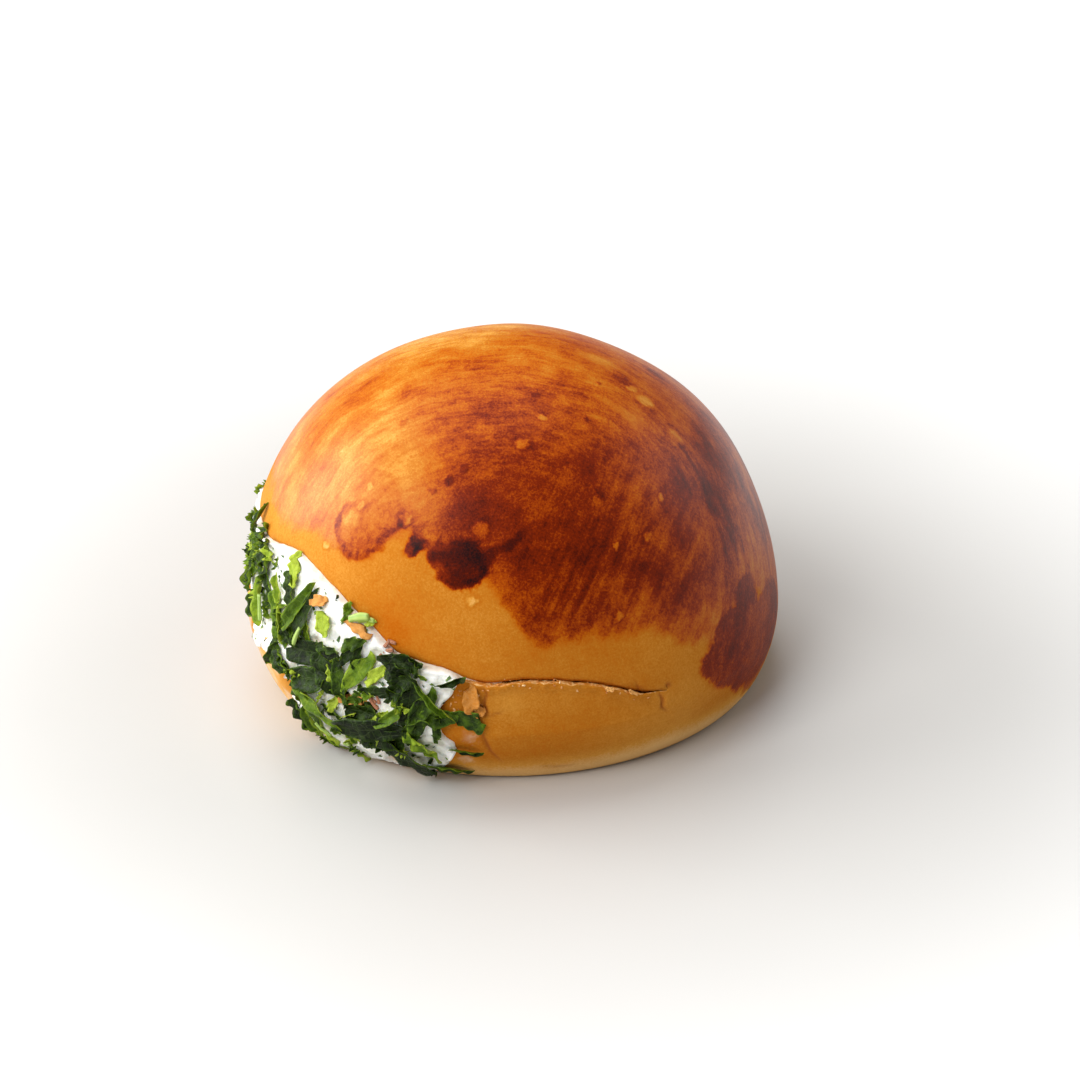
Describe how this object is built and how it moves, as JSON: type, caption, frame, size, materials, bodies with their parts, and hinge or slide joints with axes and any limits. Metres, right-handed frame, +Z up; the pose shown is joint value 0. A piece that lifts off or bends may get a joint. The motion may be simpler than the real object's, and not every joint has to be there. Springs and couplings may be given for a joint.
{
  "type": "filled milk bun sandwich",
  "caption": "Tall round glazed milk bun, split at one side, filled with soft white cream and coated at its mouth with chopped parsley.",
  "frame": {"origin": "middle of the bun's footprint, on the surface that it stands on", "axes": "+Z up; +X to the right of the shown front; -Y towards the viewer of the shown front; the filled mouth faces the left front"},
  "size_m": [0.1077, 0.1003, 0.0695],
  "materials": {
    "crust": "baked crust with a dark, half-glossy egg glaze on the dome and a matt tan foot",
    "cream_and_herbs": "moist white cream under dark green chopped parsley"
  },
  "bodies": {
    "root": {"bun": "crust", "cream_filling": "cream_and_herbs"}
  },
  "joints": []
}
